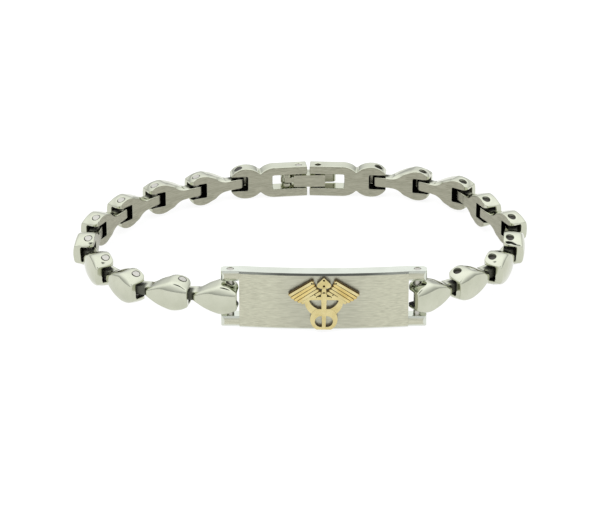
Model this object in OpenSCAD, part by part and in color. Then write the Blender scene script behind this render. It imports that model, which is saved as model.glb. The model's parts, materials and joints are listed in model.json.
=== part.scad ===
// Medical alert bracelet: a steel plate with a raised caduceus, teardrop links pinned end to end,
// and a folding clasp. Millimetres. It stands on its edge, Z up, the plate towards -Y.

/* [Plate] */
// Distance between the lug pins at the two ends of the plate
plate_span = 30.1; // [27:0.1:35]
// Height of the plate
plate_h = 10; // [9:0.1:13]
// Thickness of the plate
plate_t = 2.3; // [2:0.1:3]
// How far the plate's middle bulges out past its ends
plate_bulge = 0.8; // [0.4:0.1:1.6]
// How far the plate's ends stand out past the line of the lug pins
plate_front = 1.35; // [1.2:0.05:1.5]
// Bevel along the plate's top and bottom outer edges
plate_bevel = 0.3; // [0.1:0.05:0.5]
// How far a lug stands out past the line of the lug pins
lug_front = 1.1; // [1:0.05:1.15]
// Radius of a lug's upright corners
lug_round = 0.8; // [0.4:0.05:0.9]
// Radius of the crown up a lug's outer face
lug_crown_r = 1.6; // [1.3:0.1:3]
// Reach of a lug past its pin
lug_reach = 1.55; // [1.4:0.05:1.8]
// How far a lug's outer face lies inside the plate's edge
lug_inset = 0.05; // [0:0.05:0.4]

/* [Emblem] */
// Height of the caduceus
emblem_h = 9.4; // [7:0.1:9.4]
// Height of its relief at the staff
emblem_rise = 0.75; // [0.5:0.05:1]

/* [Links] */
// Number of links to the left of the plate
left_links = 9; // [8:1:10]
// Number of links to the right of the plate
right_links = 8; // [8:1:10]
// Distance between the pins of a link
pitch = 7.83; // [7.7:0.01:8.6]
// Height of a link's round head
link_h = 5.4; // [5.2:0.1:5.6]
// Distance from the fork pin back to the widest place of the head
head_shift = 0.75; // [0.6:0.05:0.9]
// Depth from the pin line to the flat inner face
link_in = 1.05; // [0.9:0.05:1.1]
// Height of the domed outer face over the pin line
dome_top = 2.55; // [2.4:0.05:2.8]
// Radius of the dome across a link
dome_r = 5.6; // [5:0.1:7]
// How far the dome falls from its highest point to the tail's tip
dome_fall = 0.9; // [0.5:0.05:1.1]
// Radius of the round between the dome and a link's sides
edge_r = 1; // [0.7:0.05:1.2]
// Distance from the fork pin to the tail's tip
tip_x = 5.9; // [5.7:0.05:6]
// Height of the tail's tip
tip_h = 1.3; // [1.1:0.1:1.5]
// Height of the narrow neck, on the inner face
neck_h = 1.7; // [1.5:0.1:1.8]
// Distance from the fork pin to the narrowest place of the neck
neck_x = 5.3; // [5.2:0.05:5.5]
// Radius of the hollow beside the neck, on the inner face
flank_r = 2.6; // [2.4:0.1:2.7]
// Lean of the hollow's wall, in degrees
flank_lean = 18; // [12:1:22]
// Height of the tongue
tongue_h = 1.8; // [1.6:0.1:1.9]
// Height of the slot in the fork
slot_h = 2.56; // [2.4:0.02:2.7]
// Distance from the fork pin to the floor of the slot
slot_floor = 1.6; // [1.5:0.05:1.8]
// Reach of a fork past its pin
mouth = 1.3; // [1.2:0.05:1.4]

/* [Pins] */
// Diameter of the chain's pins
pin_d = 1.15; // [0.9:0.05:1.2]
// Depth of the hollow over the sunk end of a pin
pin_sink = 0.4; // [0.2:0.05:0.5]
// Radial clearance round a pin
pin_clear = 0.03; // [0.02:0.01:0.06]

/* [Clasp] */
// Distance from the fork pin of a clasp frame to its cross pin
frame_span = 10.5; // [10.4:0.1:12]
// Angle by which a clasp frame turns in from the line of the bar, in degrees
frame_tilt = 5; // [0:0.5:6]
// Height of a frame
frame_h = 5.6; // [5.4:0.1:5.8]
// Distance from the fork pin of a frame to the middle of its round head
frame_shift = 1.1; // [0.9:0.05:1.3]
// Distance between the two cross pins
cross_gap = 3.4; // [3.3:0.05:3.6]
// Gap between the ends of the two frames
frame_gap = 0.54; // [0.4:0.02:0.8]
// Depth from the pin line to a frame's flat inner face
frame_in = 1.05; // [0.95:0.05:1.2]
// Height of the outer face of a frame over the pin line
frame_out = 1.5; // [1.4:0.05:1.6]
// Radius of the crown across the outer face of a frame
frame_crown_r = 12; // [10:1:20]
// Height of the waist of a frame
waist_h = 3.4; // [3:0.05:3.6]
// Distance from the middle of a frame's head to its waist
waist_run = 2.7; // [2.5:0.05:2.9]
// Height of the window in a frame
window_h = 2.6; // [2.5:0.02:2.8]
// Length of the window behind the cross pin
window_back = 4.6; // [4.4:0.1:5]
// Diameter of the cross pins
cross_d = 0.9; // [0.8:0.05:1]
// Height of the bar and of the latch
bar_h = 2.17; // [2:0.01:2.2]
// Diameter of the latch pin
latch_pin_d = 0.6; // [0.5:0.05:0.7]
// Radial clearance of the turning pins of the clasp
turn_clear = 0.05; // [0.03:0.01:0.08]
// Thickness of the latch leaf
leaf_t = 0.6; // [0.4:0.05:0.8]

/* [Hidden] */
$fn = 64;
eps = 0.5; // overrun of a cut past the face that it opens

// Headings of the links in degrees: 0 along the plate, 90 straight back. Columns: share of the
// side's length, heading. The left row goes from the left lugs, the right row from the right lugs.
route_left = [[0.056, 8.7], [0.167, 14], [0.278, 47.8], [0.389, 65.5], [0.5, 96.3], [0.611, 119.6],
              [0.722, 133.6], [0.833, 153.3], [0.944, 156.5]];
route_right = [[0.063, 32.1], [0.188, 40.8], [0.313, 65], [0.438, 84.5], [0.563, 120.1], [0.688, 117.6],
               [0.813, 149.2], [0.938, 166.8]];

// Radius of an arc that falls by drop over a run from its highest point.
function arc_r(run, drop) = (run * run + drop * drop) / (2 * drop);

head_r = link_h / 2;
frame_r = frame_h / 2;
link_clear = 0.5;  // between a link's head and the lug beside it
head_gap = 0.12;   // between a fork and the end of the plate
plate_half = plate_span / 2 - mouth - head_gap;
lug_in = head_r + link_clear;
lug_out = plate_h / 2 - lug_inset;
face_r = (plate_half * plate_half + plate_bulge * plate_bulge) / (2 * plate_bulge);
face_y = face_r - plate_front - plate_bulge; // axis of the plate's curve, from the line of the lug pins
face_mid = -plate_front - plate_bulge;
pin_r = pin_d / 2;
cross_r = cross_d / 2;
latch_r = latch_pin_d / 2;

tongue_r = link_in - 0.05; // half the thickness of a tongue
slot_top = tongue_r + 0.1; // the fork's slot is roofed by the dome
pin_flush = 0.06;          // from a head's round to the upper end of its pin
cross_flush = 0.15;        // from a frame's side to the end of its cross pin
bite = 0.02;               // overlap of shapes that would otherwise just touch

// Outline of a link: the round head, then two straight flanks from it to the tail's tip, each with a
// hollow beside the neck. A flank starts a bite inside the round, at flank_turn from the tail.
tail = [tip_x - head_shift, tip_h / 2];
flank_turn = atan2(tail[1], tail[0]) + acos(head_r / norm(tail));
flank_start = (head_r - bite) * [cos(flank_turn), sin(flank_turn)];
neck_z = neck_h / 2 + flank_r;
// Dome: a barrel that lies along the link, highest at dome_x, with a round along either side.
dome_x = 1;
dome_y = dome_top - dome_r;
barrel_r = arc_r(tip_x - dome_x, dome_fall);
edge_z = head_r - edge_r + bite;
edge_y = dome_y + sqrt(pow(dome_r - edge_r, 2) - pow(edge_z, 2)) + bite;
meet_z = edge_z * dome_r / (dome_r - edge_r); // where the round runs into the barrel

clasp_span = 2 * frame_span * cos(frame_tilt) + cross_gap;
frame_end = frame_span + (cross_gap - frame_gap) / 2;
window_x = frame_span - window_back;
waist_x = frame_shift + waist_run;
waist_shift = 0.3; // how far the waist's arcs start past the head's middle
waist_r = arc_r(waist_run - waist_shift, (frame_h - waist_h) / 2);

// Clasp, from the middle between the cross pins: +X to the right frame, +Y away from the wrist.
cross_x = cross_gap / 2;
leaf_y = cross_r + 0.45;          // under face of the latch leaf
bar_out = leaf_y - 0.15;          // outer face of the bar
bar_in = -frame_in + 0.1;         // inner face of the bar
notch_wall = 0.8;                 // from the left cross pin to the bar's end
bar_left = -cross_x - notch_wall;
bar_past = 1.2;                   // the bar runs past the right cross pin
bar_right = cross_x + bar_past;
knuckle_r = 0.65;                 // end of the bar's tongue
arm_r = 0.9;                      // half width of an arm of the latch
tongue_run = 1.25;                // from the bar's end to the latch pin
hinge_x = bar_left - tongue_run;
hinge_y = bar_out - knuckle_r;
bar_tongue_h = 0.43 * bar_h;
arm_gap = 0.08;                   // between an arm and the bar's tongue
notch_clear = 0.08;               // between the left cross pin and the sides of its notch
leaf_left = hinge_x - arm_r - 0.1;
leaf_short = 2.2;                 // from the end of the leaf to the end of the window
leaf_right = cross_x + window_back - leaf_short;
lip_r = 0.75;                     // outer radius of the curled lip

// The chain: one more degree of spread on every heading pulls its two ends together. The spread
// is solved so that the clasp just fits between them.
function toward(a) = [cos(a), sin(a)];
function end_of(table, links, spread, i) =
    i == 0 ? [0, 0]
           : end_of(table, links, spread, i - 1) + pitch * toward(lookup((i - 0.5) / links, table) + spread);
function across(spread) =
    let (l = end_of(route_left, left_links, spread, left_links),
         r = end_of(route_right, right_links, spread, right_links))
    norm([plate_span + l[0] + r[0], l[1] - r[1]]) - clasp_span;
function solve(lo, hi, steps) =
    steps == 0 ? (lo + hi) / 2
               : across((lo + hi) / 2) > 0 ? solve((lo + hi) / 2, hi, steps - 1)
                                           : solve(lo, (lo + hi) / 2, steps - 1);
spread_limit = 40; // degrees either way
solve_steps = 40;
spread = solve(-spread_limit, spread_limit, solve_steps);

function heading_left(i) = lookup((i - 0.5) / left_links, route_left) + spread;
function heading_right(i) = lookup((i - 0.5) / right_links, route_right) + spread;
// Fork pin of link i on each side, counted from the plate; the last one is the clasp frame's.
left_pins = [for (i = [0:left_links])
    let (p = end_of(route_left, left_links, spread, i)) [-plate_span / 2 - p[0], p[1]]];
right_pins = [for (i = [0:right_links])
    let (p = end_of(route_right, right_links, spread, i)) [plate_span / 2 + p[0], p[1]]];
clasp_l = left_pins[left_links];
clasp_r = right_pins[right_links];
clasp_turn = atan2(clasp_r[1] - clasp_l[1], clasp_r[0] - clasp_l[0]);
// Middle between the two cross pins, which stand out a little past the two fork pins.
clasp_mid = (clasp_l + clasp_r) / 2 + frame_span * sin(frame_tilt) * [-sin(clasp_turn), cos(clasp_turn)];

// It stands on the plate's lower inner edge in front and on the clasp's lower edge behind, so the
// whole loop leans back a little.
plate_inner = face_y - sqrt(pow(face_r - plate_t, 2) - pow(plate_half, 2));
frame_edge = frame_out - frame_crown_r + sqrt(pow(frame_crown_r, 2) - pow(frame_r, 2));
clasp_outer = max([for (side = [[clasp_l, frame_tilt + clasp_turn], [clasp_r, frame_tilt - clasp_turn]])
    side[0][1] + frame_end * sin(side[1]) + frame_edge * cos(side[1])]);
lean = atan((plate_h / 2 - frame_r) / (clasp_outer - plate_inner));
lift = plate_h / 2 * cos(lean) + plate_inner * sin(lean);
// Middle of the outline in X and Y, from the domes of the side links, the emblem and the clasp.
function dome_at(x) = dome_top - barrel_r + sqrt(barrel_r * barrel_r - pow(x - dome_x, 2));
function dome_out(a) = // reach of a dome at heading a
    let (x = max(-mouth, min(tip_x, dome_x + barrel_r * cos(a)))) x * cos(a) + dome_at(x) * sin(a);
dome_left = max([for (i = [1:left_links]) dome_out(heading_left(i)) - left_pins[i - 1][0]]);
dome_right = max([for (i = [1:right_links]) dome_out(heading_right(i)) + right_pins[i - 1][0]]);
ball_share = 1.15; // rise of the ball on the emblem's staff, as a share of the staff's
front = face_mid - ball_share * emblem_rise;
back = clasp_mid[1] + leaf_y + max(leaf_t, lip_r);
shift_x = (dome_left - dome_right) / 2;
shift_y = -(front + back) / 2 * cos(lean);

steel = [0.72, 0.72, 0.68];
dark_steel = [0.5, 0.5, 0.48];
gold = [0.86, 0.71, 0.38];

// Puts the level loop in its resting place.
module rest() {
    translate([shift_x, shift_y, lift]) rotate([-lean, 0, 0]) children();
}

// A flat shape in the X and Z directions, from y_in out to y_out.
module slab(y_in, y_out) {
    translate([0, y_out, 0]) rotate([90, 0, 0]) linear_extrude(y_out - y_in) children();
}

// A round rod along Z through the point [x, y].
module rod(x, y, r, lo, hi) {
    translate([x, y, lo]) cylinder(r = r, h = hi - lo);
}

module box(lo, hi) {
    translate(lo) cube(hi - lo);
}

// Plate, in the frame of the lug pins' line: x along it, -y outwards.
module plate_body() {
    in_r = face_r - plate_t;
    intersection() {
        translate([0, face_y, 0]) rotate_extrude($fn = 96)
            polygon([[in_r, -plate_h / 2], [face_r - plate_bevel, -plate_h / 2],
                     [face_r, -plate_h / 2 + plate_bevel], [face_r, plate_h / 2 - plate_bevel],
                     [face_r - plate_bevel, plate_h / 2], [in_r, plate_h / 2]]);
        box([-plate_half, face_mid - eps, -plate_h], [plate_half, plate_t + eps, plate_h]);
    }
}

// Upper lug at the right end: it reaches back to the plate's inner face, and its outer face is
// crowned up and down.
module lug() {
    start_x = plate_half - plate_bevel;
    lug_x = plate_span / 2 + lug_reach;
    crown_y = lug_crown_r - lug_front + bite;
    lug_z = (lug_in + lug_out) / 2;
    intersection() {
        union() {
            box([start_x, -lug_front, lug_in], [lug_x - lug_round, plate_inner, lug_out]);
            box([start_x, lug_round - lug_front, lug_in], [lug_x, plate_inner - lug_round, lug_out]);
            for (y = [lug_round - lug_front, plate_inner - lug_round])
                rod(lug_x - lug_round, y, lug_round, lug_in, lug_out);
        }
        union() {
            translate([start_x - eps, crown_y, lug_z]) rotate([0, 90, 0])
                cylinder(r = lug_crown_r, h = lug_x - start_x + 2 * eps);
            box([start_x - eps, crown_y, lug_z - lug_crown_r + eps / 2],
                [lug_x + eps, plate_inner + eps, lug_z + lug_crown_r - eps / 2]);
        }
    }
}

module plate() {
    color(steel) rest() difference() {
        union() {
            plate_body();
            for (sx = [0, 1], sz = [0, 1]) mirror([sx, 0, 0]) mirror([0, 0, sz]) lug();
        }
        for (s = [-1, 1]) rod(s * plate_span / 2, 0, pin_r + pin_clear, -plate_h, plate_h);
    }
}

// Caduceus. Sizes are shares of its height. Columns of a feather: root x, root z, tip x, tip z,
// rise as a share of the staff's.
feathers = [[-0.207, 0.410, -0.572, 0.172, 0.95], [-0.190, 0.354, -0.532, 0.120, 0.92],
            [-0.160, 0.302, -0.480, 0.078, 0.89], [-0.122, 0.254, -0.420, 0.045, 0.86],
            [-0.074, 0.205, -0.360, 0.022, 0.83]];
feather_w = 0.050;
// The feathers stand on a lower bed, which shows as fine grooves between them.
bed_w = 0.072;
bed_rise = 0.58;
// Columns of a loop: height of its centre, outer radius, lowest and highest edge, opening's
// centres out from the staff and up, opening's radius, opening's highest edge.
upper_loop = [0.060, 0.330, -0.200, 0.135, 0, 0.150, 0.270, 0.072];
lower_loop = [-0.295, 0.235, -0.495, -0.100, 0.050, -0.340, 0.105, -0.235];
// Columns of a hole: x, z, radius.
holes = [[0, 0.452, 0.019], [0, 0.342, 0.021], [0, 0.222, 0.014], [-0.207, 0.395, 0.014], [0.207, 0.395, 0.014],
         [-0.152, 0.168, 0.012], [0.152, 0.168, 0.012], [-0.125, 0.122, 0.009], [0.125, 0.122, 0.009]];

module relief(share) {
    slab(face_mid - share * emblem_rise, face_mid - 0.02) scale(emblem_h) children();
}

module loop(row) {
    difference() {
        intersection() {
            translate([0, row[0]]) circle(row[1]);
            translate([-row[1], row[2]]) square([2 * row[1], row[3] - row[2]]);
        }
        for (s = [-1, 1]) intersection() {
            translate([s * row[4], row[5]]) circle(row[6]);
            translate([s > 0 ? 0.02 : -1.02, row[5] - 1]) square([1, row[7] - row[5] + 1]);
        }
    }
}

module feather(f, w) {
    run = [f[2] - f[0], f[3] - f[1]];
    translate([f[0], f[1]]) rotate(atan2(run[1], run[0])) {
        translate([0, -w / 2]) square([norm(run), w]);
        circle(w / 2);
        translate([norm(run), 0]) circle(w / 2);
    }
}

module caduceus() {
    color(gold) rest() difference() {
        union() {
            for (side = [0, 1], f = feathers) mirror([side, 0, 0]) {
                relief(f[4]) feather(f, feather_w);
                relief(bed_rise) feather(f, bed_w);
            }
            relief(0.8) loop(upper_loop);
            relief(0.84) loop(lower_loop);
            relief(1) polygon([[-0.032, 0.310], [0.032, 0.310], [0.048, 0.170], [0.040, -0.100],
                               [0.030, -0.470], [-0.030, -0.470], [-0.040, -0.100], [-0.048, 0.170]]);
            relief(ball_share) translate([0, 0.170]) circle(0.052);
            relief(0.93) {
                polygon([[0, 0.500], [-0.112, 0.388], [-0.118, 0.352], [-0.060, 0.298], [0.060, 0.298],
                         [0.118, 0.352], [0.112, 0.388]]);
                for (s = [-1, 1]) translate([s * 0.080, 0.350]) circle(0.040);
            }
        }
        for (h = holes) slab(face_mid - 2 * emblem_rise, face_mid - emblem_rise / 3)
            scale(emblem_h) translate([h[0], h[1]]) circle(h[2]);
    }
}

module head_outline(x, r) {
    translate([x, 0]) circle(r);
}

// Slot of a fork, open inwards and at its mouth.
module fork_slot() {
    box([-head_r, -head_r, -slot_h / 2], [slot_floor, slot_top, slot_h / 2]);
}

// All that lies inside the dome.
module dome() {
    length = head_r + tip_x + eps;
    intersection() {
        translate([0, dome_y, 0]) rotate([0, 90, 0]) rotate_extrude($fn = 96) intersection() {
            translate([dome_r - barrel_r, dome_x]) circle(barrel_r);
            translate([0, -head_r]) square([dome_r + eps, length]);
        }
        translate([-head_r, 0, 0]) rotate([90, 0, 90]) linear_extrude(length) {
            translate([-link_in - eps, -head_r - bite]) square([link_in + eps + edge_y, link_h + 2 * bite]);
            translate([-link_in - eps, -meet_z]) square([link_in + dome_top + 2 * eps, 2 * meet_z]);
            for (s = [-1, 1]) translate([edge_y, s * edge_z]) circle(edge_r);
        }
    }
}

// A link: fork pin along Z at the origin, tail along +X, domed outer face to +Y.
module link() {
    thick = dome_top + link_in;
    flank = flank_start + [head_shift, 0];
    difference() {
        union() {
            difference() {
                intersection() {
                    slab(-link_in, dome_top + eps) {
                        head_outline(head_shift, head_r);
                        polygon([flank, [tip_x, tip_h / 2], [tip_x, -tip_h / 2], [flank[0], -flank[1]]]);
                    }
                    dome();
                }
                for (s = [-1, 1]) translate([neck_x, dome_top, s * neck_z]) rotate([90, 0, 0])
                    cylinder(r1 = flank_r - thick * tan(flank_lean), r2 = flank_r + eps * tan(flank_lean),
                             h = thick + eps);
            }
            box([neck_x, -tongue_r, -tongue_h / 2], [pitch, tongue_r, tongue_h / 2]);
            rod(pitch, 0, tongue_r, -tongue_h / 2, tongue_h / 2);
        }
        fork_slot();
        box([-link_h, -link_h, -link_h], [-mouth, link_h, link_h]);
        rod(0, 0, pin_r + pin_clear, -link_h, link_h);
        rod(pitch, 0, pin_r + pin_clear, -link_h, link_h);
    }
}

// Places children() of link i: the left side as drawn, the right side turned over.
module on_left(i) {
    rest() translate(left_pins[i - 1]) rotate(180 - heading_left(i)) children();
}
module on_right(i) {
    rest() translate(right_pins[i - 1]) rotate([180, 0, heading_right(i)]) children();
}

// Pin of a head of radius r round x: its upper end is flush with the head's round, its lower end is sunk.
module head_pin(x, r) {
    for (half = [[0, r, pin_flush], [-r, 0, pin_sink]]) intersection() {
        rod(0, 0, pin_r, half[0], half[1]);
        slab(-head_r, head_r) head_outline(x, r - half[2]);
    }
}
module link_pin() {
    head_pin(head_shift, head_r);
}
module frame_pin() {
    head_pin(frame_shift, frame_r);
}

// Pin through the plate's lugs.
module lug_pin() {
    rod(0, 0, pin_r, -lug_out + 0.1, lug_out - 0.1);
}

// Two arcs of radius waist_r, frame_h apart at x: the part between two places along X.
module lens(x, from, to) {
    intersection() {
        translate([x, frame_r - waist_r]) circle(waist_r);
        translate([x, waist_r - frame_r]) circle(waist_r);
        translate([from, -frame_r]) square([to - from, frame_h]);
    }
}

// Outline of a clasp frame: round head, sharp waist, arched shoulder and straight rails.
module frame_outline() {
    shoulder_x = waist_x + waist_run - waist_shift;
    head_outline(frame_shift, frame_r);
    lens(frame_shift + waist_shift, frame_shift - waist_shift, waist_x + bite);
    lens(shoulder_x, waist_x - bite, shoulder_x + eps);
    translate([shoulder_x, bite / 2 - frame_r]) square([frame_end - shoulder_x, frame_h - bite]);
}

// A clasp frame: fork pin along Z at the origin, open end of the window at +X, outer face to +Y.
module frame() {
    intersection() {
        difference() {
            slab(-frame_in, frame_out + eps) frame_outline();
            fork_slot();
            box([-frame_r, 0, -slot_h / 2], [-mouth, frame_out + eps, slot_h / 2]);
            box([window_x, -frame_in - eps, -window_h / 2], [frame_end + eps, frame_out + eps, window_h / 2]);
            rod(0, 0, pin_r + pin_clear, -frame_h, frame_h);
            rod(frame_span, 0, cross_r + pin_clear, -frame_h, frame_h);
        }
        translate([-frame_r, frame_out - frame_crown_r, 0]) rotate([0, 90, 0])
            cylinder(r = frame_crown_r, h = frame_end + 2 * frame_r, $fn = 96);
    }
}

// Clasp places: the frames from their fork pins, the rest from the middle of the clasp.
module at_left_frame() {
    rest() translate(clasp_l) rotate(clasp_turn + frame_tilt) children();
}
module at_right_frame() {
    rest() translate(clasp_r) rotate([180, 0, 180 + clasp_turn - frame_tilt]) children();
}
module at_clasp() {
    rest() translate(clasp_mid) rotate(clasp_turn) children();
}

module cross_pin(sink_low) {
    rod(0, 0, cross_r, -frame_r + cross_flush + sink_low, frame_r - cross_flush);
}

// Inner leaf: turns on the right cross pin and takes the left one in a notch open outwards.
module clasp_bar() {
    notch_r = cross_r + notch_clear;
    color(steel) at_clasp() difference() {
        union() {
            box([bar_left, bar_in, -bar_h / 2], [bar_right, bar_out, bar_h / 2]);
            box([hinge_x, hinge_y - knuckle_r, -bar_tongue_h / 2], [bar_left + 0.1, bar_out, bar_tongue_h / 2]);
            rod(hinge_x, hinge_y, knuckle_r, -bar_tongue_h / 2, bar_tongue_h / 2);
        }
        rod(cross_x, 0, cross_r + turn_clear, -bar_h, bar_h);
        rod(hinge_x, hinge_y, latch_r + turn_clear, -bar_h, bar_h);
        rod(-cross_x, 0, notch_r, -bar_h, bar_h);
        intersection() {
            difference() {
                rod(cross_x, 0, cross_gap + notch_r, -bar_h, bar_h);
                rod(cross_x, 0, cross_gap - notch_r, -bar_h - eps, bar_h + eps);
            }
            box([-cross_gap, 0, -bar_h], [0, bar_out + eps, bar_h]);
        }
    }
}

// Outer leaf: closes over both cross pins, hinged on the bar's tongue, lifted by its curled lip.
module clasp_latch() {
    arm_in = bar_tongue_h / 2 + arm_gap;
    color(steel) at_clasp() difference() {
        union() {
            box([leaf_left, leaf_y, -bar_h / 2], [leaf_right, leaf_y + leaf_t, bar_h / 2]);
            difference() {
                rod(leaf_right, leaf_y + lip_r, lip_r, -bar_h / 2, bar_h / 2);
                rod(leaf_right, leaf_y + lip_r, lip_r - leaf_t * 0.7, -bar_h, bar_h);
                box([leaf_right - 2 * lip_r, leaf_y - eps, -bar_h], [leaf_right, leaf_y + 3 * lip_r, bar_h]);
                box([leaf_right - eps, leaf_y + lip_r, -bar_h],
                    [leaf_right + 2 * lip_r, leaf_y + 3 * lip_r, bar_h]);
            }
            for (s = [0, 1]) mirror([0, 0, s]) {
                rod(hinge_x, hinge_y, arm_r, arm_in, bar_h / 2);
                box([hinge_x - arm_r, hinge_y, arm_in], [hinge_x + arm_r, leaf_y + leaf_t / 2, bar_h / 2]);
            }
        }
        rod(hinge_x, hinge_y, latch_r + pin_clear, -bar_h, bar_h);
    }
}

module latch_pin() {
    color(dark_steel) at_clasp() rod(hinge_x, hinge_y, latch_r, -bar_h / 2 + 0.05, bar_h / 2 - 0.05);
}

plate();
caduceus();
for (i = [1:left_links]) color(steel) on_left(i) link();
for (i = [1:right_links]) color(steel) on_right(i) link();
for (i = [2:left_links])
    color(dark_steel) on_left(i) link_pin();
for (i = [2:right_links])
    color(dark_steel) on_right(i) link_pin();
color(dark_steel) on_left(1) lug_pin();  // pin_left_1
color(dark_steel) on_right(1) lug_pin();  // pin_right_1
color(dark_steel) at_left_frame() frame_pin();
color(dark_steel) at_right_frame() frame_pin();
color(steel) at_left_frame() frame();  // frame_left
color(steel) at_right_frame() frame();  // frame_right
color(dark_steel) at_left_frame() translate([frame_span, 0, 0]) cross_pin(0);  // cross_pin_left
color(dark_steel) at_right_frame() translate([frame_span, 0, 0]) cross_pin(pin_sink);  // cross_pin_right
clasp_bar();
clasp_latch();
latch_pin();
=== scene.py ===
from functools import partial, reduce
import json
import math

import bpy
import numpy as np
from mathutils import Matrix, Vector


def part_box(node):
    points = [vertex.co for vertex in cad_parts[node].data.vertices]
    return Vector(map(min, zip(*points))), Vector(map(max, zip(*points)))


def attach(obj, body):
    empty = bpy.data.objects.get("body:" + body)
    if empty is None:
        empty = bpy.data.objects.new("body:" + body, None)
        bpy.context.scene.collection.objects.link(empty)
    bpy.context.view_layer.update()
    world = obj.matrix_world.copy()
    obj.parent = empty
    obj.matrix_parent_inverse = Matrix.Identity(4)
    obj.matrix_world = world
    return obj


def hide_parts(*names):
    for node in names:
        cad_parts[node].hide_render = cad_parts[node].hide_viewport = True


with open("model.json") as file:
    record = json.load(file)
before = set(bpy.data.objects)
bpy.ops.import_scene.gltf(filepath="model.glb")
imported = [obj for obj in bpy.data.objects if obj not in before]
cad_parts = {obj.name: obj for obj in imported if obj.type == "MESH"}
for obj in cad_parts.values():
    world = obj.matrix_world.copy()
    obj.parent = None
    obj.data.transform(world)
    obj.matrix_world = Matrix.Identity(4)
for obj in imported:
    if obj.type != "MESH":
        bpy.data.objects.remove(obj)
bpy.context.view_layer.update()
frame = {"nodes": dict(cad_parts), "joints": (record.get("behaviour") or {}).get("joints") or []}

MM = 0.001
nodes = frame["nodes"]


def centre(node):
    """Middle of a node's box at rest."""
    lo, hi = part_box(node)
    return (Vector(lo) + Vector(hi)) / 2


# The loop's plane leans back on the clasp and stands in front on the plate's lower edge. Each pin of
# the chain lies along axis, and the plate looks along front.
axis = Vector(frame["joints"][0]["axis"])
lean = Vector((0, 0, 1)).rotation_difference(axis).to_matrix()
front = lean @ Vector((0, -1, 0))
lugs = (centre("pin_left_1") + centre("pin_right_1")) / 2


def on_plane(pin):
    """The point where a pin's axis meets the loop's plane."""
    p = centre(pin)
    return p - axis * (p - lugs).dot(axis)


def place(origin, along, up):
    """Place of a link or clasp frame: x runs along it, y out of the loop and z along its pins."""
    x = along.normalized()
    y = up.cross(x)
    turn = Matrix((x, y, up)).transposed().to_4x4()
    return Matrix.Translation(origin) @ turn


def side_places(side, up):
    """Places of one side's links and clasp frame, from the plate to the clasp."""
    count = sum(name.startswith(f"link_{side}_") for name in nodes)
    names = [f"link_{side}_{i}" for i in range(1, count + 1)] + [f"frame_{side}"]
    pins = [f"pin_{side}_{i}" for i in range(1, count + 2)] + [f"cross_pin_{side}"]
    stops = [on_plane(pin) for pin in pins]
    return {name: place(here, there - here, up) for name, here, there in zip(names, stops, stops[1:])}


places = {**side_places("left", axis), **side_places("right", -axis)}

# Camera: its angle over the loop's plane, its distance and its lens. AIM is the point in the middle of
# the picture: millimetres to the right, back and up from the middle of the lug pins, before the lean.
RISE = math.radians(26.7)
DISTANCE = 535 * MM
LENS = 194.0
SENSOR = 36
AIM = (-3.84, 14.88, -0.07)
CLIP_START = 10 * MM


def add_camera():
    data = bpy.data.cameras.new("camera")
    data.sensor_width = SENSOR
    data.lens = LENS
    data.clip_start = CLIP_START
    camera = bpy.data.objects.new("camera", data)
    bpy.context.scene.collection.objects.link(camera)
    towards_camera = lean @ Vector((0, -math.cos(RISE), math.sin(RISE)))
    camera.location = lugs + lean @ Vector(AIM) * MM + towards_camera * DISTANCE
    camera.rotation_euler = towards_camera.to_track_quat("Z", "Y").to_euler()
    bpy.context.scene.camera = camera


# Materials
MIX_SOCKETS = {"RGBA": "RGBA", "FLOAT": "VALUE"}  # the mix node's kinds, and their sockets' type


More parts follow.
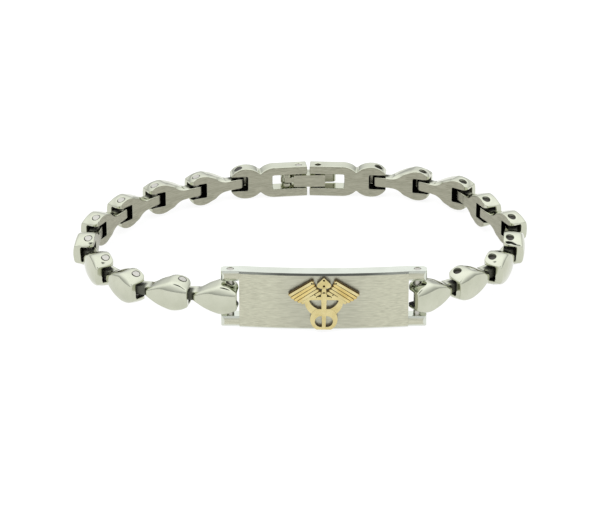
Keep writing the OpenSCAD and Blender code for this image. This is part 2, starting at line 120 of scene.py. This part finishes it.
class Nodes:
    """Adds and joins the nodes of a tree. A value is a number, a colour, a vector or a node's output."""

    def __init__(self, tree):
        self.tree = tree
        tree.nodes.clear()

    def add(self, kind, **values):
        node = self.tree.nodes.new(kind)
        for key, value in values.items():
            setattr(node, key, value)
        return node

    def link(self, a, b):
        self.tree.links.new(a, b)

    def put(self, value, socket):
        if isinstance(value, (int, float)):
            socket.default_value = value
        elif isinstance(value, (tuple, list, Vector)):
            value = tuple(value)
            socket.default_value = value if len(value) == len(socket.default_value) else (*value, 1)
        else:
            self.link(value, socket)

    def calc(self, op, a, b=None):
        node = self.add("ShaderNodeMath", operation=op)
        self.put(a, node.inputs[0])
        if b is not None:
            self.put(b, node.inputs[1])
        return node.outputs[0]

    def times(self, *values):
        return reduce(partial(self.calc, "MULTIPLY"), values)

    def total(self, *values):
        return reduce(partial(self.calc, "ADD"), values)

    def most(self, *values):
        return reduce(partial(self.calc, "MAXIMUM"), values)

    def minus(self, a, b):
        return self.calc("SUBTRACT", a, b)

    def size(self, value):
        return self.calc("ABSOLUTE", value)

    def dot(self, a, b):
        node = self.add("ShaderNodeVectorMath", operation="DOT_PRODUCT")
        self.put(a, node.inputs[0])
        self.put(b, node.inputs[1])
        return node.outputs["Value"]

    def parts(self, vector):
        """The vector's x, y and z."""
        node = self.add("ShaderNodeSeparateXYZ")
        self.link(vector, node.inputs[0])
        return node.outputs

    def noise(self, vector, scale, detail, roughness=0.5):
        node = self.add("ShaderNodeTexNoise")
        self.put(scale, node.inputs["Scale"])
        self.put(detail, node.inputs["Detail"])
        self.put(roughness, node.inputs["Roughness"])
        self.link(vector, node.inputs["Vector"])
        return node.outputs["Fac"]

    def stretch(self, vector, scale):
        node = self.add("ShaderNodeMapping")
        self.put(scale, node.inputs["Scale"])
        self.link(vector, node.inputs["Vector"])
        return node.outputs[0]

    def ramp(self, value, start, end, low=0.0, high=1.0, smooth=False):
        """Runs from low, where value is at start, to high, where it is at end, and stays level outside."""
        node = self.add("ShaderNodeMapRange", interpolation_type="SMOOTHSTEP" if smooth else "LINEAR")
        self.link(value, node.inputs["Value"])
        for key, number in (("From Min", start), ("From Max", end), ("To Min", low), ("To Max", high)):
            self.put(number, node.inputs[key])
        return node.outputs["Result"]

    def above(self, value, limit, soft):
        """1 where value is over limit, with an edge that is soft on either side."""
        return self.ramp(value, limit - soft, limit + soft)

    def below(self, value, limit, soft):
        """1 where value is under limit, with an edge that is soft on either side."""
        return self.ramp(value, limit + soft, limit - soft)

    def inside(self, value, lo, hi, soft):
        """1 where value lies between lo and hi, with soft edges."""
        return self.times(self.above(value, lo, soft), self.below(value, hi, soft))

    def mix(self, factor, a, b, kind="RGBA"):
        """Colour a where factor is 0, and b where it is 1."""
        def pick(sockets, name):
            return next(s for s in sockets if s.name == name and s.type == MIX_SOCKETS[kind])

        node = self.add("ShaderNodeMix", data_type=kind)
        self.put(factor, node.inputs["Factor"])
        self.put(a, pick(node.inputs, "A"))
        self.put(b, pick(node.inputs, "B"))
        return pick(node.outputs, "Result")

    def blend(self, factor, a, b):
        """Number a where factor is 0, and b where it is 1."""
        return self.mix(factor, a, b, "FLOAT")


class Metal(Nodes):
    """Node tree of one metal, with its shader, and a point's place and normal in the object's frame."""

    def __init__(self, name):
        self.material = bpy.data.materials.new(name)
        self.material.use_nodes = True
        super().__init__(self.material.node_tree)
        out = self.add("ShaderNodeOutputMaterial")
        self.shader = self.add("ShaderNodeBsdfPrincipled")
        self.link(self.shader.outputs[0], out.inputs[0])
        self.shader.inputs["Metallic"].default_value = 1.0
        coord = self.add("ShaderNodeTexCoord")
        self.pos = coord.outputs["Object"]
        self.normal = coord.outputs["Normal"]

    def finish(self, colour, rough, *relief):
        """Sets the colour, the roughness and one bump. relief holds pairs: a pattern and its height."""
        bump = self.add("ShaderNodeBump")
        bump.inputs["Strength"].default_value = 1.0
        bump.inputs["Distance"].default_value = 1.0
        heights = [self.times(pattern, height) for pattern, height in relief]
        self.link(self.total(*heights), bump.inputs["Height"])
        self.link(colour, self.shader.inputs["Base Color"])
        self.link(rough, self.shader.inputs["Roughness"])
        self.link(bump.outputs[0], self.shader.inputs["Normal"])
        return self.material


# Colours. A pair is the darker and the lighter end of a metal's changes of tone.
POLISHED = (0.50, 0.515, 0.41), (0.57, 0.585, 0.475)
POLISHED_PLATE = (0.60, 0.63, 0.55), (0.66, 0.69, 0.61)
# Brushed steel of the links, clasp frames and clasp, darker than the plate's: painted shade of the inside
# of the loop.
BRUSHED_PAINTED_SHADE = (0.25, 0.248, 0.188), (0.42, 0.415, 0.325)
# The plate's brushed steel: painted shade in its middle and painted light towards its ends.
PLATE_MIDDLE_PAINTED_SHADE = (0.36, 0.36, 0.28), (0.55, 0.55, 0.44)
PLATE_ENDS_PAINTED_LIGHT = (0.41, 0.41, 0.315), (0.63, 0.63, 0.495)
LIGHT_PIN = (0.42, 0.41, 0.37), (0.60, 0.59, 0.54)
# Near-black copy of the pin steel: painted shade on the pins in the gaps.
PIN_PAINTED_SHADE = (0.03, 0.028, 0.025), (0.10, 0.095, 0.085)
PALE_GOLD = (0.59, 0.495, 0.225), (0.70, 0.61, 0.32)
DEEP_GOLD = (0.58, 0.435, 0.15), (0.72, 0.575, 0.235)
# Painted shade on the emblem: brown on its bed and in its grooves, darker brown on the relief's sides.
GROOVE_PAINTED_SHADE = (0.30, 0.19, 0.06)
SIDE_PAINTED_SHADE = (0.11, 0.075, 0.032)
# Black of the painted shade in slots, round pins and on tails, and of the painted reflection on the
# plate's edge.
PAINTED_SHADE_AND_REFLECTION_BLACK = (0.004, 0.004, 0.004)

# Roughness. A pair is its range over a pattern.
POLISHED_ROUGH = 0.08
BRUSHED_ROUGH = 0.28, 0.42
BLACK_ROUGH = 0.6
PIN_ROUGH = 0.25, 0.5
GOLD_ROUGH = 0.16, 0.34

# Scales of the noise patterns, per metre. Brushing is stretched along X, where it has its own scale.
TONE_SCALE = 260
WAVE_SCALE = 420
BRUSH_SCALE = 9000
PLATE_BRUSH_ALONG = 350
LINK_BRUSH_ALONG = 900
CLASP_BRUSH_ALONG = 600
SPOT_SCALE = 2500
CAST_SCALE = 1500
GOLD_TONE_SCALE = 500

# Heights of the patterns in the bumps.
BRUSH_HEIGHT = 0.0015 * MM
WAVE_HEIGHT = 0.005 * MM
SPOT_HEIGHT = 0.008 * MM
CAST_HEIGHT = 0.012 * MM

# Most of a noise pattern's values lie in these stretches, the second for slow changes of tone.
SPREAD = 0.3, 0.7
TONE_SPREAD = 0.35, 0.65

# How far a surface is turned a given way, as a cosine: where a finish starts and where it is whole.
PLATE_FLAT = 0.9, 0.97
CLASP_FLAT = 0.8, 0.95
LINK_FLAT = -0.6, -0.9      # the normal's y, which is -1 on the inner face
EMBLEM_FLAT = 0.35, 0.8
UPWARDS = 0.2, 0.35

# The painted reflection, a dark line on the plate's rounded upper edge, and the painted light that makes
# the plate's ends lighter. Places are distances from the plate's middle.
EDGE_ROUND = 0.30, 0.93     # cosines to the plate's face between which the line lies
EDGE_FADE = 0.04
# How far the painted reflection runs, and how dark it is at either end.
LINE_ENDS = 13.5 * MM, 7 * MM
LINE_PAINTED_REFLECTION = 0.35, 0.85     # at the places of LINE_ENDS
PAINTED_LIGHT_ENDS = 3 * MM, 10 * MM

# Sizes of a link and a clasp frame, in millimetres from the fork's pin.
SLOT_HALF = 1.28    # half the height of the fork's slot
SLOT_FLOOR = 1.6    # the slot's floor, towards the tail
MOUTH = 1.3         # the fork's ends, the other way
INNER_FACE = 1.05   # the flat face that looks into the loop

# The slot's painted shade is black: it lies on its walls, and on a band under its roof. It reaches this
# far from a wall into the hollow and into the steel, and fades over twice FADE.
BAND = 0.9          # the band's height; the roof is at 1.1
INTO_HOLLOW = 0.12
INTO_STEEL = 0.10
FADE = 0.02
FROM_FACE = 0.055   # where the black starts inside the inner face, and its fade
FACE_FADE = 0.025
FROM_MOUTH = 0.07   # the same for the fork's ends
MOUTH_FADE = 0.03

# Painted shade in a ring round each end of a pin: its two radii, its fade, and the height from which it
# shows.
RING = 0.60, 0.70
RING_FADE = 0.03
RING_HEIGHT = 2.05
RING_HEIGHT_FADE = 0.05
RING_PAINTED_SHADE = 0.85

# Painted shade on the tail: where it starts along the link and outwards, with one fade for both.
TAIL_ALONG = 5.95
TAIL_OUT = -0.35
TAIL_FADE = 0.25
TAIL_PAINTED_SHADE = 0.8

# The emblem's middle, on the plate's face, and how far its bed stands out from there.
FACE_OUT = 2.15     # the plate's face, from the line of the lug pins
EMBLEM_RISE = 0.75
BED_SHARE = 0.58
EMBLEM = lugs + lean @ Vector((0, -FACE_OUT, 0)) * MM
BED = BED_SHARE * EMBLEM_RISE * MM
# Under the bed's height the emblem is painted a brown shade.
BED_FADE = -0.02 * MM, 0.10 * MM    # from the bed, where brown turns to gold

# A wing lies off the staff, over a line that falls steeply outwards and under one that falls gently.
# Columns of a line: its fall, and the heights at the staff between which the wing fades in.
OFF_STAFF = 1.0 * MM, 1.3 * MM
STEEP_LINE = 1.1, 4.4 * MM, 4.9 * MM
GENTLE_LINE = 0.65, 4.9 * MM, 4.6 * MM


def finish_steel(n, flat, brush_along, brushed, dark=None, polished=POLISHED):
    """Steel that is polished where flat is 0, brushed where it is 1, and painted black, as painted shade
    and painted reflection, where dark is 1.
    """
    lines = n.stretch(n.pos, (brush_along, BRUSH_SCALE, BRUSH_SCALE))
    brush = n.noise(lines, scale=1, detail=4, roughness=0.6)
    tone = n.noise(n.pos, TONE_SCALE, detail=3)
    waves = n.noise(n.pos, WAVE_SCALE, detail=2)
    smooth_colour = n.mix(n.ramp(tone, *TONE_SPREAD), *polished)
    colour = n.mix(flat, smooth_colour, n.mix(n.ramp(brush, *SPREAD), *brushed))
    rough = n.blend(flat, POLISHED_ROUGH, n.ramp(brush, *SPREAD, *BRUSHED_ROUGH))
    if dark is not None:
        colour = n.mix(dark, colour, PAINTED_SHADE_AND_REFLECTION_BLACK)
        rough = n.blend(dark, rough, BLACK_ROUGH)
    return n.finish(colour, rough, (n.times(brush, flat), BRUSH_HEIGHT), (waves, WAVE_HEIGHT))


def plate_steel():
    """Brushed on its face and back, with painted light that makes it lighter towards its ends, and a
    painted reflection as a dark line along its upper edge.
    """
    n = Metal("plate_steel")
    facing = n.dot(n.normal, front)
    flat = n.ramp(n.size(facing), *PLATE_FLAT, smooth=True)
    from_middle = n.size(n.minus(n.parts(n.pos)[0], lugs.x))
    # A painted reflection: a dark line on the plate's rounded upper edge, fading towards its ends.
    painted_reflection = n.times(n.inside(facing, *EDGE_ROUND, EDGE_FADE), n.ramp(n.dot(n.normal, axis), *UPWARDS),
                   n.ramp(from_middle, *LINE_ENDS, *LINE_PAINTED_REFLECTION))
    # Painted light: the brushed face grows lighter towards the plate's ends.
    ends = n.ramp(from_middle, *PAINTED_LIGHT_ENDS, smooth=True)
    brushed = [n.mix(ends, middle, end) for middle, end in zip(PLATE_MIDDLE_PAINTED_SHADE, PLATE_ENDS_PAINTED_LIGHT)]
    return finish_steel(n, flat, PLATE_BRUSH_ALONG, brushed, painted_reflection, POLISHED_PLATE)


def fork_steel(name, paint_tail_shade):
    """Steel of a link or clasp frame: brushed inside the loop, with painted shade that is black in its
    slot and dark round its pin.
    """
    def above(value, limit, soft=FADE):
        return n.above(value, limit * MM, soft * MM)

    def below(value, limit, soft=FADE):
        return n.below(value, limit * MM, soft * MM)

    n = Metal(name)
    flat = n.ramp(n.parts(n.normal)[1], *LINK_FLAT, smooth=True)
    x, y, z = n.parts(n.pos)
    z = n.size(z)
    hollow = n.times(above(y, FROM_FACE - INNER_FACE, FACE_FADE), below(y, BAND + INTO_STEEL),
                     below(z, SLOT_HALF + INTO_STEEL), below(x, SLOT_FLOOR + INTO_STEEL))
    sides = n.times(above(z, SLOT_HALF - INTO_HOLLOW), above(x, FROM_MOUTH - MOUTH, MOUTH_FADE))
    floor = above(x, SLOT_FLOOR - INTO_HOLLOW)
    band = above(y, BAND - INTO_HOLLOW)
    # slot: where the slot's walls, floor and roof band are painted black as shade
    slot = n.times(hollow, n.most(sides, floor, band))
    # Painted shade in a ring round each pin's end, where it comes out of the link.
    from_pin = n.calc("SQRT", n.total(n.times(x, x), n.times(y, y)))
    inner, outer = RING
    ring_painted_shade = n.times(above(from_pin, inner, RING_FADE), below(from_pin, outer, RING_FADE),
                   above(z, RING_HEIGHT, RING_HEIGHT_FADE), RING_PAINTED_SHADE)
    dark = n.most(slot, ring_painted_shade)
    # Links also get painted shade on the tail, next to the joint with the next link.
    if paint_tail_shade:
        tail_painted_shade = n.times(above(x, TAIL_ALONG, TAIL_FADE), above(y, TAIL_OUT, TAIL_FADE), TAIL_PAINTED_SHADE)
        dark = n.most(dark, tail_painted_shade)
    return finish_steel(n, flat, LINK_BRUSH_ALONG, BRUSHED_PAINTED_SHADE, dark)


def clasp_steel():
    """Brushed on its two broad sides, polished on the others."""
    n = Metal("clasp_steel")
    flat = n.ramp(n.size(n.dot(n.normal, front)), *CLASP_FLAT, smooth=True)
    return finish_steel(n, flat, CLASP_BRUSH_ALONG, BRUSHED_PAINTED_SHADE)


def pin_steel(name, colours):
    """Dull spotted steel."""
    n = Metal(name)
    spots = n.noise(n.pos, SPOT_SCALE, detail=4)
    return n.finish(n.mix(spots, *colours), n.ramp(spots, *SPREAD, *PIN_ROUGH), (spots, SPOT_HEIGHT))


def gold_plate():
    """Pale gold, deeper on the wings, with brown painted shade in their grooves and down the sides of the
    relief.
    """
    n = Metal("gold_plate")
    cast = n.noise(n.pos, CAST_SCALE, detail=4)
    tone = n.ramp(n.noise(n.pos, GOLD_TONE_SCALE, detail=2), *TONE_SPREAD)
    face = n.ramp(n.dot(n.normal, front), *EMBLEM_FLAT, smooth=True)
    out = n.size(n.minus(n.parts(n.pos)[0], EMBLEM.x))
    up = n.minus(n.dot(n.pos, axis), EMBLEM.dot(axis))
    height = n.minus(n.dot(n.pos, front), EMBLEM.dot(front))
    wing = n.ramp(out, *OFF_STAFF)
    for fall, start, end in (STEEP_LINE, GENTLE_LINE):
        wing = n.times(wing, n.ramp(n.total(up, n.times(out, fall)), start, end))
    gold = n.mix(wing, n.mix(tone, *PALE_GOLD), n.mix(tone, *DEEP_GOLD))
    # Painted shade: brown under the bed's height, darker brown where the relief's sides turn away from the
    # face.
    raised = n.ramp(height, *(BED + edge for edge in BED_FADE))
    colour = n.mix(face, SIDE_PAINTED_SHADE, n.mix(raised, GROOVE_PAINTED_SHADE, gold))
    return n.finish(colour, n.ramp(cast, *SPREAD, *GOLD_ROUGH), (cast, CAST_HEIGHT))


def has_painted_shade(pin):
    """The photo's dark pins, painted near-black as shade: all on the right but the lugs' own, and the one
    in the left frame's fork.
    """
    return pin == "pin_left_10" or ("right" in pin and pin != "pin_right_1")


def finish_nodes():
    """Gives each CAD node its metal. Links and clasp frames are replaced further down."""
    plate, clasp, gold = plate_steel(), clasp_steel(), gold_plate()
    # The second pin steel is the painted-shade copy.
    light_pin, shaded_pin = pin_steel("pin_steel", LIGHT_PIN), pin_steel("dark_pin_steel", PIN_PAINTED_SHADE)
    for name, obj in nodes.items():
        if "pin" in name:
            metal = shaded_pin if has_painted_shade(name) else light_pin
        else:
            metal = {"plate": plate, "caduceus": gold}.get(name, clasp)
        for slot in obj.material_slots:
            slot.material = metal
        if not obj.material_slots:
            obj.data.materials.append(metal)


# Links and clasp frames: the grain of their meshes in millimetres, and how often these are evened out.
LINK_VOXEL = 0.095
FRAME_VOXEL = 0.09
DOME_ROUNDS = 34
LINK_ROUNDS = 5
FRAME_ROUNDS = 6
RELAX_STEP = 0.5    # share of the way to the middle of its neighbours that a point goes in one round

# Where a link's dome is evened out: outwards, and by the distance from the slot's mouth.
DOME_OUT = -0.4, 0.6
OFF_MOUTH = 0.1, 0.5

# Changes to the dome, as shares of a point's height over or under the link's middle. Each has the
# millimetres between which it fades in or out along the link (ALONG), outwards (OUT) or from the pin,
# and some keep at least a share of themselves (LEAST) on the inner side.
DRAWN_IN = 0.4      # towards the fork's mouth, for what lies beyond the wall
DRAWN_WALL = 1.32
DRAWN_ALONG = -1.7, 1.5
DRAWN_OUT = -0.8, 0.6
DRAWN_LEAST = 0.25
DRAWN_FROM_PIN = 0.75, 1.5
FILLED = 0.14       # along the flanks
FILLED_ALONG = 0.2, 3.8
FILLED_UNTIL = 4.2, 5.9
FILLED_OUT = -1.1, -0.3
FILLED_LEAST = 0.4
ROUNDED = 0.07      # towards the top of the dome
ROUNDED_ALONG = -0.2, 2.6
ROUNDED_OUT = 0.1, 2.4
TIP_R = 1.32        # radius of the fork's tips round the pin, on the inner side


def remesh(node, voxel):
    """The node's mesh in millimetres in its own frame, as a fine even mesh."""
    mesh = nodes[node].data.copy()
    mesh.transform(Matrix.Scale(1 / MM, 4) @ places[node].inverted())
    obj = bpy.data.objects.new("remesh", mesh)
    bpy.context.scene.collection.objects.link(obj)
    mod = obj.modifiers.new("remesh", "REMESH")
    mod.mode = "VOXEL"
    mod.voxel_size = voxel
    out = bpy.data.meshes.new_from_object(obj.evaluated_get(bpy.context.evaluated_depsgraph_get()))
    bpy.data.objects.remove(obj)
    bpy.data.meshes.remove(mesh)
    return out


def get_points(mesh):
    """The mesh's points, a row each."""
    points = np.empty(len(mesh.vertices) * 3)
    mesh.vertices.foreach_get("co", points)
    return points.reshape(-1, 3)


def set_points(mesh, points):
    mesh.vertices.foreach_set("co", points.ravel())
    mesh.update()


def everywhere(points):
    return np.ones(len(points))


def relax(mesh, rounds, weight=everywhere):
    """Evens out the surface where weight(points) is high: a point moves towards its neighbours."""
    points = get_points(mesh)
    count = len(points)
    ends = np.empty(len(mesh.edges) * 2, dtype=np.int64)
    mesh.edges.foreach_get("vertices", ends)
    a, b = ends.reshape(-1, 2).T
    neighbours = np.bincount(ends, minlength=count)[:, None]
    step = RELAX_STEP * weight(points)[:, None]
    for _ in range(rounds):
        total = np.zeros_like(points)
        for k in range(3):
            total[:, k] = (np.bincount(a, weights=points[b, k], minlength=count)
                           + np.bincount(b, weights=points[a, k], minlength=count))
        points += step * (total / neighbours - points)
    set_points(mesh, points)


def ramp(value, lo, hi):
    """A smooth run from 0 at lo to 1 at hi."""
    t = np.clip((value - lo) / (hi - lo), 0, 1)
    return t * t * (3 - 2 * t)


def at_least(share, value):
    """Lifts a value from 0 to 1 so that it starts at share."""
    return share + (1 - share) * value


def dome_weight(points):
    """High on a link's dome, low at the slot's mouth and on the inner side."""
    x, y, z = points.T
    from_mouth = np.hypot(np.maximum(x + MOUTH, 0), np.maximum(np.abs(z) - SLOT_HALF, 0))
    return ramp(y, *DOME_OUT) * ramp(from_mouth, *OFF_MOUTH)


def shape_dome(mesh):
    """Draws the dome in towards the fork's mouth, fills out its flanks and rounds the fork's tips."""
    x, y, z = get_points(mesh).T
    height = np.abs(z)
    from_pin = np.hypot(x, y)
    drawn = DRAWN_IN * (1 - ramp(x, *DRAWN_ALONG)) * at_least(DRAWN_LEAST, ramp(y, *DRAWN_OUT))
    drawn *= ramp(from_pin, *DRAWN_FROM_PIN)
    filled = FILLED * ramp(x, *FILLED_ALONG) * (1 - ramp(x, *FILLED_UNTIL))
    filled *= at_least(FILLED_LEAST, ramp(y, *FILLED_OUT))
    rounded = ROUNDED * ramp(y, *ROUNDED_OUT) * ramp(x, *ROUNDED_ALONG)
    height = np.where(height > DRAWN_WALL, DRAWN_WALL + (height - DRAWN_WALL) * (1 - drawn), height)
    height = height * (1 + filled) * (1 - rounded)
    past_tip = (x < 0) & (y < 0) & (from_pin > TIP_R)
    pulled = np.where(past_tip, TIP_R / np.maximum(from_pin, TIP_R), 1)
    set_points(mesh, np.column_stack((x * pulled, y * pulled, np.sign(z) * height)))


def finish_piece(node, mesh, metal):
    """Puts a mesh, in millimetres in the node's own frame, in the node's place, and gives it its metal."""
    mesh.transform(Matrix.Scale(MM, 4))
    mesh.polygons.foreach_set("use_smooth", [True] * len(mesh.polygons))
    mesh.materials.clear()
    mesh.materials.append(metal)
    obj = bpy.data.objects.new("smooth_" + node, mesh)
    bpy.context.scene.collection.objects.link(obj)
    obj.matrix_world = places[node]
    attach(obj, "bracelet")
    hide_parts(node)


def add_links():
    """All links are copies of one smooth mesh."""
    metal = fork_steel("link_steel", paint_tail_shade=True)
    mesh = remesh("link_left_1", LINK_VOXEL)
    shape_dome(mesh)
    relax(mesh, DOME_ROUNDS, dome_weight)
    relax(mesh, LINK_ROUNDS)
    for name in nodes:
        if name.startswith("link"):
            finish_piece(name, mesh.copy(), metal)


def add_frames():
    metal = fork_steel("frame_steel", paint_tail_shade=False)
    for name in ("frame_left", "frame_right"):
        mesh = remesh(name, FRAME_VOXEL)
        relax(mesh, FRAME_ROUNDS)
        finish_piece(name, mesh, metal)


def soften(node, width, segments=2, angle=25):
    """Rounds a CAD node's edges that are sharper than angle, by width in millimetres."""
    mod = nodes[node].modifiers.new("edges", "BEVEL")
    mod.width = width * MM
    mod.segments = segments
    mod.limit_method = "ANGLE"
    mod.angle_limit = math.radians(angle)


def soften_nodes():
    soften("plate", width=0.12, segments=3)
    for name in ("clasp_bar", "clasp_latch"):
        soften(name, width=0.05)
    for name in nodes:
        if "pin" in name:
            soften(name, width=0.08, angle=40)
    soften("caduceus", width=0.03)


# Floor and light
FLOOR_HALF = 1.5
FLOOR_DROP = 0.1 * MM   # keeps the floor clear of what stands on it
FLOOR_GREY = 0.14
FLOOR_GLOW = 0.87       # brings the floor up to white

# Rows of the sky: height, from 0 at eye level to 1 overhead, and brightness.
SKY = [(0.0, 0.50), (0.06, 0.62), (0.22, 0.95), (0.45, 1.25), (0.85, 1.5)]
SKY_TINT = 1, 1.01, 1.03
# A dark patch high in front: its direction, the cosines between which it fades in, and its colour.
PATCH = (0.0, -0.454, 0.891)
PATCH_EDGE = 0.955, 0.985
PATCH_COLOUR = (0.02, 0.02, 0.02)


def add_floor():
    mesh = bpy.data.meshes.new("floor")
    r = FLOOR_HALF
    mesh.from_pydata([(-r, -r, 0), (r, -r, 0), (r, r, 0), (-r, r, 0)], [], [(0, 1, 2, 3)])
    obj = bpy.data.objects.new("floor", mesh)
    bpy.context.scene.collection.objects.link(obj)
    obj.location.z = -FLOOR_DROP
    mat = bpy.data.materials.new("floor")
    mat.use_nodes = True
    inputs = mat.node_tree.nodes["Principled BSDF"].inputs
    inputs["Base Color"].default_value = (FLOOR_GREY, FLOOR_GREY, FLOOR_GREY, 1)
    inputs["Roughness"].default_value = 1
    inputs["Specular IOR Level"].default_value = 0
    inputs["Emission Color"].default_value = (1, 1, 1, 1)
    inputs["Emission Strength"].default_value = FLOOR_GLOW
    mesh.materials.append(mat)


def add_sky():
    """A room that is bright overhead and dim at eye level, with a dark patch high in front."""
    world = bpy.data.worlds.new("studio")
    bpy.context.scene.world = world
    world.use_nodes = True
    n = Nodes(world.node_tree)
    out = n.add("ShaderNodeOutputWorld")
    background = n.add("ShaderNodeBackground")
    n.link(background.outputs[0], out.inputs[0])
    towards = n.add("ShaderNodeTexCoord").outputs["Generated"]
    level = n.add("ShaderNodeValToRGB")
    n.link(n.parts(towards)[2], level.inputs[0])
    stops = level.color_ramp.elements
    while len(stops) < len(SKY):
        stops.new(0.5)
    for stop, (height, brightness) in zip(stops, SKY):
        stop.position = height
        stop.color = (*(brightness * tint for tint in SKY_TINT), 1)
    patch = n.ramp(n.dot(towards, PATCH), *PATCH_EDGE, smooth=True)
    n.link(n.mix(patch, level.outputs[0], PATCH_COLOUR), background.inputs["Color"])


def add_light(name, at, size, power):
    """A soft light that shines on the origin and isn't mirrored in the steel."""
    data = bpy.data.lights.new(name, "AREA")
    data.shape = "RECTANGLE"
    data.size, data.size_y = size
    data.energy = power
    obj = bpy.data.objects.new(name, data)
    bpy.context.scene.collection.objects.link(obj)
    obj.location = at
    obj.rotation_euler = (-Vector(at)).to_track_quat("-Z", "Y").to_euler()
    obj.visible_glossy = False


add_camera()
finish_nodes()
add_links()
add_frames()
soften_nodes()
add_floor()
add_sky()
add_light("key", at=(-0.25, -0.25, 0.5), size=(0.25, 0.25), power=1.5)
add_light("fill", at=(0.4, -0.1, 0.35), size=(0.2, 0.3), power=0.8)
bpy.context.scene.view_settings.view_transform = "Standard"
